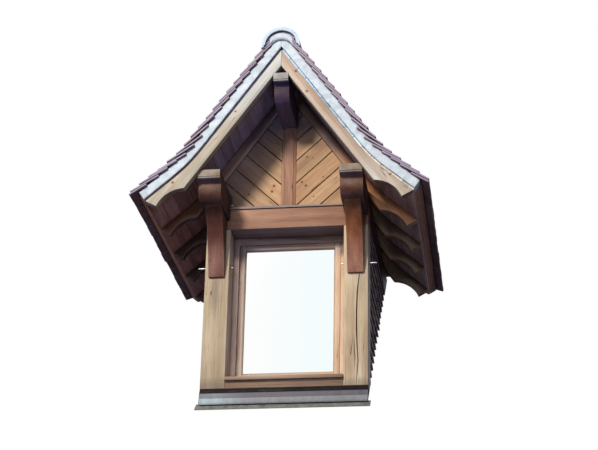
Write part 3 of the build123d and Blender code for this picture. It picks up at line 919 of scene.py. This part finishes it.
plainTile = {
    "width": 0.160, "joint": 0.004, "length": 0.238, "thickness": 0.0135, "gauge": 0.087, "camber": 0.0022,
    "edge": 0.0028, "lumps": 0.0022, "verge": -0.5710, "noseOffset": 0.1295, "eave": 0.042, "highest": 0.155,
    "ridgeGap": 0.058, "slide": 0.0016, "turn": 0.5, "tilt": 0.35, "past": 0.25, "stagger": 0.003,
    "underLength": 0.62, "underBack": 0.004,
}
cheekTiles = {"face": 0.600, "front": 0.1157, "top": 1.373, "lowest": -0.03, "firstNose": 0.35}
tileLean = math.asin(plainTile["thickness"] / plainTile["gauge"])
tileStep = plainTile["width"] + plainTile["joint"]


def makeTileShapes():
    # Four slightly different tiles: nose at X 0, body towards -X, one side on Y 0, top on Z 0
    shapes = []
    for i in range(4):
        low = (-plainTile["length"], 0, -plainTile["thickness"])
        tile = addBlock(f"tileShape{i}", low, (0, plainTile["width"], 0))
        for axis, cuts in ((1, 2), (0, 1)):
            with editing(tile, "EDGE", lambda e: edgeAlong(e, axis)):
                bpy.ops.mesh.subdivide(number_cuts=cuts)
        with editing(tile, "VERT", lambda v: 0.3 < v.co.y / plainTile["width"] < 0.7):
            bpy.ops.transform.translate(value=(0, 0, plainTile["camber"] * (0.5 + 0.4 * i)))
        soften(tile, plainTile["edge"], 1, 50)
        roughened(tile, plainTile["lumps"], 0.03 + 0.012 * i)
        shapes.append(tile)
    return shapes


def layTile(sign, x, y, z, angle, width=1.0, length=1.0):
    tile = duplicate(randomly.choice(tileShapes), "tile")
    turn = Matrix.Rotation(math.pi if sign < 0 else 0, 4, "Z") @ Matrix.Rotation(angle - tileLean, 4, "Y")
    skew = Matrix.Rotation(math.radians(randomly.gauss(0, plainTile["turn"])), 4, "Z")
    skew = skew @ Matrix.Rotation(math.radians(randomly.gauss(0, plainTile["tilt"])), 4, "X")
    start = y + plainTile["width"] * width if sign < 0 else y
    sized = Matrix.Diagonal((length, width, 1, 1))
    tile.data.transform(Matrix.Translation((sign * x, start, z)) @ turn @ skew @ sized)
    giveTone(tile, randomly.random())
    return tile


def layRoof(side, sign):
    # Courses from the eave up, then the short tiles under the lowest course
    total = roofLength(plainTile["noseOffset"], plainTile["eave"])
    count = int((total - plainTile["highest"]) / plainTile["gauge"]) + 1
    courses = [(total - i * plainTile["gauge"], plainTile["noseOffset"], i, 1.0) for i in range(count)]
    under = plainTile["noseOffset"] - plainTile["thickness"]
    courses.append((total - plainTile["underBack"], under, 1, plainTile["underLength"]))
    tiles = []
    for along, offset, number, length in courses:
        x, z, angle = roofPoint(offset, along)
        y = plainTile["verge"] + randomly.uniform(-plainTile["stagger"], plainTile["stagger"])
        width = 1.5 if number % 2 else 1.0
        while y < (z + plainTile["past"]) / math.tan(mainPitch):
            slide = downSlope(angle) * randomly.gauss(0, plainTile["slide"])
            tile = layTile(sign, x + slide.x, y, z + slide.y, angle, width, length)
            if reach(tile, Vector((sign, 0, 0)))[0] < plainTile["ridgeGap"]:
                cutAway(tile, (sign * plainTile["ridgeGap"], 0, 0), (-sign, 0, 0))
            if clippedByRoof(tile):
                tiles.append(tile)
            y += tileStep * width
            width = 1.0
    return joined(side + "RoofTiles", tiles)


def layCheek(side, sign):
    top = cheekTiles["top"]
    tiles, number = [], 0
    z = top - cheekTiles["firstNose"] * plainTile["gauge"]
    while z > cheekTiles["lowest"]:
        y = cheekTiles["front"]
        width = 0.5 if number % 2 else 1.0
        while y < top / math.tan(mainPitch):
            lift = randomly.gauss(0, plainTile["slide"])
            tile = layTile(sign, cheekTiles["face"], y, z + lift, math.radians(90), width)
            if reach(tile, Vector((0, 0, 1)))[1] > top:
                cutAway(tile, (0, 0, top), (0, 0, 1))
            if clippedByRoof(tile):
                tiles.append(tile)
            y += tileStep * width
            width = 1.0
        z -= plainTile["gauge"]
        number += 1
    return joined(side + "CheekTiles", tiles)


def makeClay(name, look):
    material, shader, place, tone = newMaterial(name)
    cloud = useGroup(blotches, Vector=place + tone * (3.1, 5.7, 1.3), size=look["cloudSize"])
    weather = useGroup(blotches, Vector=place, size=0.5)
    colour = ramp(tone * look["toneShare"] + cloud["Medium"] * (1 - look["toneShare"]), look["bodies"])
    colour = blend(rescale(cloud["Fine"], 0.40, 0.66) * 0.35, colour, look["speckle"])
    sooty = rescale(weather["Medium"], 0.42, 0.7, 0.0, look["soot"])
    colour = blend(sooty, colour, look["sootColour"], "MULTIPLY")
    colour = blend(useGroup(wornEdge, radius=0.005)["Mask"] * look["edgeShow"], colour, look["edgeColour"])
    growth = useGroup(lichen, Vector=place, size=look["lichenSize"], cover=look["lichenCover"])
    growthColour = blend(growth["Middle"], look["lichenEdge"], look["lichenMiddle"])
    colour = blend(growth["Mask"] * look["lichenShow"], colour, growthColour)
    facing = facings()
    # Painted light and shade: faces toward the front take a bluish tint, and faces that point down are darkened
    colour = blend(rescale(facing[1], -0.5, -0.85, 0.0, look["frontPaintedLight"]), colour, look["frontPaintedLightColour"])
    colour = blend(rescale(facing[2], -0.4, -0.8), colour, look["belowPaintedShade"], "MULTIPLY")
    # Painted shade in corners and under tile edges, with some grime
    colour = blend(useGroup(cornerShade, distance=0.03)["Mask"] * look["dirt"], colour, look["grimeAndShadeColour"], "MULTIPLY")
    surface(shader, colour, rescale(cloud["Fine"], 0.2, 0.8, 0.72, 0.95), 0.25,
            cloud["Fine"] * 0.6 + growth["Mask"] * 0.5, 0.0022, 0.9)
    return material


# Roof clay: the bluish front tint, the darker undersides and the corner darkening are painted shade
clayLook = {
    "cloudSize": 0.16, "toneShare": 0.7, "soot": 0.55, "edgeShow": 0.5, "lichenSize": 0.022, "lichenCover": 0.12,
    "lichenShow": 0.55, "dirt": 0.75,
    "bodies": [(0.10, (0.32, 0.19, 0.14)), (0.32, (0.46, 0.28, 0.21)), (0.50, (0.52, 0.36, 0.27)),
               (0.66, (0.43, 0.24, 0.20)), (0.88, (0.58, 0.43, 0.33))],
    "speckle": (0.30, 0.24, 0.20), "sootColour": (0.45, 0.40, 0.38), "edgeColour": (0.62, 0.42, 0.36),
    "lichenEdge": (0.42, 0.40, 0.33), "lichenMiddle": (0.60, 0.59, 0.52), "grimeAndShadeColour": (0.20, 0.17, 0.25),
    "frontPaintedLight": 0.72, "frontPaintedLightColour": (0.36, 0.34, 0.50), "belowPaintedShade": (0.45, 0.42, 0.55),
}
cheekClayLook = {
    **clayLook, "lichenCover": 0.08,
    "bodies": [(0.10, (0.28, 0.19, 0.16)), (0.35, (0.40, 0.28, 0.23)), (0.55, (0.45, 0.33, 0.27)),
               (0.72, (0.35, 0.24, 0.21)), (0.90, (0.52, 0.40, 0.33))],
}
# Ridge tiles: the pale blue front tint on their ends is painted sky light
ridgeLook = {
    **clayLook,
    "cloudSize": 0.12, "lichenSize": 0.028, "lichenCover": 0.75, "lichenShow": 0.9, "soot": 0.12, "edgeShow": 0.3,
    "bodies": [(0.15, (0.48, 0.33, 0.27)), (0.5, (0.58, 0.44, 0.36)), (0.85, (0.52, 0.38, 0.31))],
    "lichenEdge": (0.62, 0.66, 0.68), "lichenMiddle": (0.82, 0.88, 0.92), "dirt": 0.05,
    "frontPaintedLight": 0.85, "frontPaintedLightColour": (0.54, 0.65, 0.76),
}

tileShapes = makeTileShapes()
roofClay = makeClay("roofClay", clayLook)
cheekClay = makeClay("cheekClay", cheekClayLook)
for side, sign in sides:
    finished(layRoof(side, sign), roofClay, "roof_tile", side + "_roof_tiles")
    print(side, "slope tiled")
    finished(layCheek(side, sign), cheekClay, "cheek_tile", side + "_cheek_tiles")
    print(side, "cheek tiled")
for shape in tileShapes:
    bpy.data.objects.remove(shape)

# Half-round ridge tiles with collars

ridgeTile = {
    "radius": 0.1335, "wall": 0.026, "length": 0.370, "overlap": 0.020, "collar": 0.055, "collarRise": 0.010,
    "centreZ": 2.5575, "skirt": 0.020, "front": -0.5905, "back": 2.888, "edge": 0.004, "lumps": 0.006,
    "lumpSize": 0.035, "rings": (0.15, 0.25), "vertices": 48, "past": 0.2, "sway": 0.002, "rise": (-0.003, 0.001),
    "turn": 0.8,
}


def makeRidgeShape():
    length = ridgeTile["length"] + ridgeTile["overlap"]
    pick()
    bpy.ops.mesh.primitive_cylinder_add(
        vertices=ridgeTile["vertices"], radius=ridgeTile["radius"], depth=length, end_fill_type="NOTHING",
        location=(0, length / 2, 0), rotation=(math.radians(90), 0, 0))
    shape = settled("ridgeShape")
    with editing(shape):
        bpy.ops.mesh.bisect(plane_co=(0, 0, 0), plane_no=(0, 0, -1), clear_outer=True)
    with editing(shape, "EDGE", lambda e: abs(edgeMiddle(e).z) < 0.0005 and edgeAlong(e, 1)):
        bpy.ops.mesh.extrude_region_move(TRANSFORM_OT_translate={"value": (0, 0, -ridgeTile["skirt"])})
    with editing(shape, "EDGE"):
        for place in (ridgeTile["collar"], *ridgeTile["rings"]):
            bpy.ops.mesh.select_all(action="SELECT")
            bpy.ops.mesh.bisect(plane_co=(0, place, 0), plane_no=(0, 1, 0))
    with editing(shape, "FACE", lambda f: f.calc_center_median().y < ridgeTile["collar"]):
        bpy.ops.mesh.extrude_region_shrink_fatten(TRANSFORM_OT_shrink_fatten={"value": ridgeTile["collarRise"]})
    with editing(shape, "FACE", lambda f: f.calc_center_median().y < 0.001):
        bpy.ops.mesh.delete(type="FACE")
    applied(shape, "SOLIDIFY", thickness=ridgeTile["wall"], offset=-1.0)
    soften(shape, ridgeTile["edge"], 2, 40)
    with editing(shape):
        bpy.ops.mesh.normals_make_consistent(inside=False)
    return shape


def layRidge():
    shape = makeRidgeShape()
    tiles, y = [], ridgeTile["front"]
    while y < ridgeTile["centreZ"] / math.tan(mainPitch) + ridgeTile["past"]:
        tile = duplicate(shape, "ridgePiece")
        x = randomly.gauss(0, ridgeTile["sway"])
        z = ridgeTile["centreZ"] + randomly.uniform(*ridgeTile["rise"])
        turn = Matrix.Rotation(math.radians(randomly.gauss(0, ridgeTile["turn"])), 4, "Y")
        tile.data.transform(Matrix.Translation((x, y, z)) @ turn)
        roughened(tile, ridgeTile["lumps"], ridgeTile["lumpSize"])
        smoothed(tile, 40)
        if clippedByRoof(tile):
            giveTone(tile, randomly.random())
            tiles.append(tile)
        y += ridgeTile["length"]
    bpy.data.objects.remove(shape)
    cutAway(tiles[-1], (0, ridgeTile["back"], 0), (0, 1, 0))
    return joined("ridgeTiles", tiles)


finished(layRidge(), makeClay("ridgeClay", ridgeLook), "ridge_tile", "ridge_tiles")
print("ridge laid")

# Lime mortar, built up lumpy over the imported shape

# Mortar: its bluish corner darkening is painted shade under the tile edges
mortarLook = {
    "bodies": [(0.30, (0.46, 0.51, 0.55)), (0.50, (0.60, 0.66, 0.70)), (0.68, (0.72, 0.77, 0.79))],
    "stain": (0.40, 0.39, 0.42), "stainShow": 0.5, "grimeAndShadeColour": (0.24, 0.23, 0.36), "dirt": 0.85, "grain": 0.0016,
}
# Size of the voxels, height of the lumps and their size
mortarPieces = {
    "left_verge_mortar": (0.0070, 0.007, 0.05),
    "right_verge_mortar": (0.0070, 0.007, 0.05),
    "ridge_bedding": (0.0120, 0.006, 0.06),
}


def makeMortar():
    material, shader, place, _ = newMaterial("limeMortar")
    cloud = useGroup(blotches, Vector=place, size=0.22)
    colour = ramp(cloud["Medium"] * 0.7 + cloud["Fine"] * 0.3, mortarLook["bodies"])
    patch = rescale(cloud["Broad"], 0.55, 0.72, 0.0, mortarLook["stainShow"])
    colour = blend(patch * cloud["Medium"], colour, mortarLook["stain"])
    # Painted shade in corners and under the tile edges
    corner = useGroup(cornerShade, distance=0.045)["Mask"]
    colour = blend(corner * mortarLook["dirt"], colour, mortarLook["grimeAndShadeColour"], "MULTIPLY")
    surface(shader, colour, 0.92, 0.2, cloud["Fine"] + cloud["Medium"] * 0.8, mortarLook["grain"])
    return material


mortarMaterial = makeMortar()
for node, (voxel, lumps, size) in mortarPieces.items():
    mortar = cadCopy(node)
    applied(mortar, "REMESH", mode="VOXEL", voxel_size=voxel)
    roughened(mortar, lumps, size)
    smoothed(mortar, 60)
    finished(mortar, mortarMaterial, "lime_mortar", node)
print("mortar trowelled")

# Battens, fascias and the cheek framing

sawnWood = {turn: makeWood("sawnWood" + turn, sawnLook, rotation)
            for turn, rotation in (("X", alongX), ("Y", alongY), ("Z", alongZ))}
fasciaWood = makeWood("fasciaWood", fasciaLook, alongY)
soleWood = makeWood("soleWood", sawnLook, (math.radians(90) - mainPitch, 0, 0))
cheekBoards = {"width": 0.118, "vary": 0.01, "gap": 0.002, "edge": 0.002, "least": 0.02, "below": 0.2}
carpentryEdge = 0.003


def dressCarpentry():
    for side, _ in sides:
        for part, material in (("_fascia", fasciaWood), ("_cheek_sole", soleWood), ("_cheek_studs", sawnWood["Z"])):
            dressed(side + part, material, "roof_carpentry", carpentryEdge, 1, smooth=False)
        low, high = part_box(side + "_cheek_boards")
        boards, y = [], low.y
        while y < high.y - cheekBoards["least"]:
            width = cheekBoards["width"] + randomly.uniform(-cheekBoards["vary"], cheekBoards["vary"])
            end = min(y + width, high.y + cheekBoards["least"])
            board = addBlock("cheekBoard", (low.x, y, low.z - cheekBoards["below"]), (high.x, end, high.z))
            soften(board, cheekBoards["edge"], 1)
            if clippedByRoof(board):
                giveTone(board, randomly.uniform(-0.5, 0.5))
                boards.append(board)
            y += width + cheekBoards["gap"]
        finished(joined(side + "CheekBoards", boards), sawnWood["Z"], "roof_carpentry", side + "_cheek_boards")
    for node, turn in (("counter_battens", "X"), ("battens", "Y")):
        nodes[node].data.materials.clear()
        nodes[node].data.materials.append(sawnWood[turn])


dressCarpentry()
print("carpentry dressed")

# Materials of the metalwork, the glass and its seal

metalLooks = {
    "zinc": {
        "streak": 0.4, "cloudSize": 0.25, "metallic": 0.05, "specular": 0.15, "roughness": (0.5, 0.7), "bump": 0.0006,
        "bodies": [(0.3, (0.20, 0.20, 0.21)), (0.5, (0.27, 0.27, 0.28)), (0.7, (0.34, 0.34, 0.35))],
        "edgeColour": (0.50, 0.50, 0.51), "grimeAndShadeColour": (0.3, 0.28, 0.3),
        # Painted shade: darker above the middle band, near black at the top and darker at the bottom; lighter left as
        # painted light
        "fades": [((0, 0, 1), -0.024, -0.018, (0.56, 0.50, 0.53)), ((0, 0, 1), 0.018, 0.024, (0.03, 0.025, 0.03)),
                  ((0, 0, 1), -0.054, -0.060, (0.72, 0.70, 0.70)), ((1, 0, 0), -0.2, -0.55, (1.55, 1.8, 1.8))]},
    "strip": {
        "streak": 1.0, "cloudSize": 0.2, "metallic": 0.1, "specular": 0.2, "roughness": (0.6, 0.8), "bump": 0.0008,
        "bodies": [(0.3, (0.20, 0.155, 0.14)), (0.5, (0.27, 0.21, 0.19)), (0.7, (0.34, 0.28, 0.25))],
        "edgeColour": (0.40, 0.35, 0.32), "grimeAndShadeColour": (0.3, 0.25, 0.25), "fades": ()},
    "lead": {
        "streak": 0.6, "cloudSize": 0.2, "metallic": 0.1, "specular": 0.2, "roughness": (0.6, 0.8), "bump": 0.0012,
        "bodies": [(0.3, (0.12, 0.12, 0.11)), (0.5, (0.20, 0.20, 0.175)), (0.7, (0.28, 0.28, 0.25))],
        "edgeColour": (0.36, 0.36, 0.33), "grimeAndShadeColour": (0.3, 0.28, 0.25), "fades": ()},
    "pin": {
        "streak": 1.0, "cloudSize": 0.05, "metallic": 0.7, "specular": 0.5, "roughness": (0.3, 0.5), "bump": 0.0003,
        "bodies": [(0.3, (0.62, 0.62, 0.60)), (0.5, (0.76, 0.76, 0.74)), (0.7, (0.86, 0.86, 0.85))],
        "edgeColour": (0.9, 0.9, 0.9), "grimeAndShadeColour": (0.4, 0.35, 0.3), "fades": ()},
}
# Colours of the glass's painted sky reflection
glassLook = {"tints": [(0.2, (1.0, 1.0, 1.0)), (1.2, (0.93, 0.99, 1.0))], "metallic": 0.98, "bend": 1.5}
sealLook = {"bodies": [(0.3, (0.02, 0.02, 0.022)), (0.7, (0.045, 0.043, 0.045))], "roughness": 0.6}


def makeMetal(name, look):
    material, shader, place, _ = newMaterial(name)
    cloud = useGroup(blotches, Vector=place * (1, 1, look["streak"]), size=look["cloudSize"])
    colour = ramp(cloud["Medium"] * 0.75 + cloud["Fine"] * 0.25, look["bodies"])
    colour = blend(useGroup(wornEdge, radius=0.003)["Mask"] * 0.5, colour, look["edgeColour"])
    # Painted shade in corners, with some grime
    colour = blend(useGroup(cornerShade, distance=0.04)["Mask"] * 0.8, colour, look["grimeAndShadeColour"], "MULTIPLY")
    # Painted light and shade bands, which only the zinc has
    colour = faded(place, colour, look["fades"])
    feedAll(shader, {"Metallic": look["metallic"]})
    surface(shader, colour, rescale(cloud["Medium"], 0.3, 0.7, *look["roughness"]), look["specular"],
            cloud["Fine"], look["bump"], 0.6)
    return material


def makeGlass():
    # Glass that mirrors a white sky, with a painted reflection in its colour: soft clouds, a little bluer to the
    # right
    material, shader, place, _ = newMaterial("skyGlass")
    cloud = useGroup(blotches, Vector=place, size=0.9)
    reflectionDrift = rescale(split(place)[0], -0.35, 0.40) + cloud["Broad"] * 0.5
    feedAll(shader, {
        "Base Color": ramp(reflectionDrift, glassLook["tints"]), "Metallic": glassLook["metallic"], "Transmission Weight": 1.0,
        "Roughness": rescale(cloud["Fine"], 0.3, 0.7, 0.01, 0.03), "IOR": glassLook["bend"]})
    return material


def makeSeal():
    material, shader, place, _ = newMaterial("sealRubber")
    cloud = useGroup(blotches, Vector=place, size=0.05)
    feedAll(shader, {"Base Color": ramp(cloud["Medium"], sealLook["bodies"]), "Roughness": sealLook["roughness"]})
    return material


metalMaterials = {name: makeMetal(name + "Metal", look) for name, look in metalLooks.items()}

# Window: jointed frame and sash, glazing beads, double glazing and sill

windowJoinery = {
    "joint": 0.0012, "edge": 0.0025, "stile": 0.046, "lowRail": 0.030, "topRail": 0.046, "beadWidth": 0.002,
    "beadBack": 0.010, "beadEdge": 0.0015, "gasket": 0.0015, "gasketDepth": 0.003, "paneThickness": 0.004,
    "paneEdge": 0.0008, "spacer": 0.012, "spacerInset": 0.004, "sillEdge": 0.004,
}


def inset(corners, by):
    # Corners in X and Z of an opening, moved inwards all round
    (left, low), (right, high) = corners
    return (left + by, low + by), (right - by, high - by)


def addBars(name, outer, inner, front, back):
    # Two stiles and two rails between an outer and an inner opening
    gap = windowJoinery["joint"] / 2
    (left, bottom), (right, top) = outer
    (innerLeft, innerBottom), (innerRight, innerTop) = inner
    return [addBlock(name, (lowX, front, lowZ), (highX, back, highZ)) for lowX, lowZ, highX, highZ in (
        (left, bottom, innerLeft, top), (innerRight, bottom, right, top),
        (innerLeft + gap, bottom, innerRight - gap, innerBottom), (innerLeft + gap, innerTop, innerRight - gap, top))]


def splitAtJoints(node, kind, half, look):
    # Stiles run the full height, and the rails stand between them at half metres each side
    label = kind.replace("window", "").lower()
    stiles, rails = [cadCopy(node), cadCopy(node)], cadCopy(node)
    for stile, sign in zip(stiles, (-1, 1)):
        cutAway(stile, (sign * half, 0, 0), (-sign, 0, 0))
        cutAway(rails, (sign * (half - windowJoinery["joint"]), 0, 0), (sign, 0, 0))
    for bar in [*stiles, rails]:
        soften(bar, windowJoinery["edge"])
        smoothed(bar)
        giveTone(bar, randomly.uniform(-0.3, 0.3))
    stileWood = makeWood(label + "StileWood", look, alongZ)
    finished(joined(kind + "Stiles", stiles), stileWood, "window_joinery", node)
    rails.name = kind + "Rails"
    finished(rails, makeWood(label + "RailWood", look, alongX), "window_joinery", node)
    return stileWood


def addWindow():
    values = windowJoinery
    sashLow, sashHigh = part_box("window_sash")
    glassLow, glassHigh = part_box("window_glass")
    light = ((sashLow.x + values["stile"], sashLow.z + values["lowRail"]),
             (sashHigh.x - values["stile"], sashHigh.z - values["topRail"]))
    splitAtJoints("window_frame", "windowFrame", sashHigh.x, frameLook)
    sashWood = splitAtJoints("window_sash", "windowSash", light[1][0], joineryLook)
    beadLight = inset(light, values["beadWidth"])
    beads = addBars("bead", light, beadLight, sashLow.y + values["beadBack"], glassLow.y)
    for bar in beads:
        soften(bar, values["beadEdge"])
        smoothed(bar)
        giveTone(bar, randomly.uniform(-0.2, 0.2))
    finished(joined("glazingBeads", beads), sashWood, "window_joinery")
    seals = addBars("seal", beadLight, inset(beadLight, values["gasket"]),
                    glassLow.y - values["gasketDepth"], glassLow.y)
    finished(joined("glazingSeals", seals), makeSeal(), "window_joinery")
    pane = values["paneThickness"]
    sheets = [addBlock("outerPane", glassLow, (glassHigh.x, glassLow.y + pane, glassHigh.z)),
              addBlock("innerPane", (glassLow.x, glassHigh.y - pane, glassLow.z), glassHigh)]
    for sheet in sheets:
        soften(sheet, values["paneEdge"], 1)
    finished(joined("glazing", sheets), makeGlass(), "window_glass", "window_glass")
    rim = inset(((glassLow.x, glassLow.z), (glassHigh.x, glassHigh.z)), values["spacerInset"])
    spacers = addBars("spacer", rim, inset(rim, 2 * values["spacer"] - values["spacerInset"]),
                      glassLow.y + pane, glassHigh.y - pane)
    finished(joined("paneSpacers", spacers), metalMaterials["pin"], "pin_steel")
    dressed("window_sill", makeWood("sillWood", sillLook, alongX), "window_joinery", values["sillEdge"])


addWindow()
print("window glazed")

# Metalwork: zinc and lead below the sill, a strip on the lintel, steel pins and pegs

metalwork = {
    "strip": {"half": 0.4325, "front": -0.0760, "back": -0.0535, "low": 1.4660, "high": 1.4705, "drop": 0.0085,
              "taper": 0.008, "edge": 0.002},
    "footDrop": 0.0105,
    "edges": {"zinc": 0.0012, "lead": 0.002, "pin": 0.0015},
    "pegs": {"x": 0.4325, "y": -0.052, "z": 1.500, "radius": 0.005, "length": 0.022, "edge": 0.0012},
}


def addStrip():
    # Its front edge hangs down, and its left end is a little taller
    values = metalwork["strip"]
    low, high = values["low"], values["high"]
    strip = addBlock("lintelStrip", (-values["half"], values["front"], low), (values["half"], values["back"], high))
    with editing(strip, "EDGE", lambda e: edgeAlong(e, 0) and edgeMiddle(e).y < values["front"] + 0.001
                 and edgeMiddle(e).z < low + 0.001):
        bpy.ops.transform.translate(value=(0, 0, -values["drop"]))
    with editing(strip, "VERT", lambda v: v.co.x < 0 and v.co.z > high - 0.001):
        bpy.ops.transform.translate(value=(0, 0, values["taper"]))
    soften(strip, values["edge"])
    finished(strip, metalMaterials["strip"], "zinc")


def addPegs():
    values = metalwork["pegs"]
    pegs = []
    for _, sign in sides:
        pick()
        bpy.ops.mesh.primitive_cylinder_add(
            vertices=16, radius=values["radius"], depth=values["length"], rotation=(0, math.radians(90), 0),
            location=(sign * (values["x"] - values["length"] / 2), values["y"], values["z"]))
        peg = settled("platePeg")
        soften(peg, values["edge"])
        smoothed(peg)
        pegs.append(peg)
    finished(joined("platePegs", pegs), metalMaterials["pin"], "pin_steel")


def addMetalwork():
    edges = metalwork["edges"]
    zinc = cadCopy("sill_flashing")
    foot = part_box("sill_flashing")[0].z
    with editing(zinc, "VERT", lambda v: v.co.z < foot + 0.001):
        bpy.ops.transform.translate(value=(0, 0, -metalwork["footDrop"]))
    dressed("sill_flashing", metalMaterials["zinc"], "zinc", edges["zinc"], piece=zinc)
    dressed("sill_apron", metalMaterials["lead"], "lead", edges["lead"])
    dressed("post_pins", metalMaterials["pin"], "pin_steel", edges["pin"])
    addStrip()
    addPegs()


addMetalwork()
print("metalwork fitted")
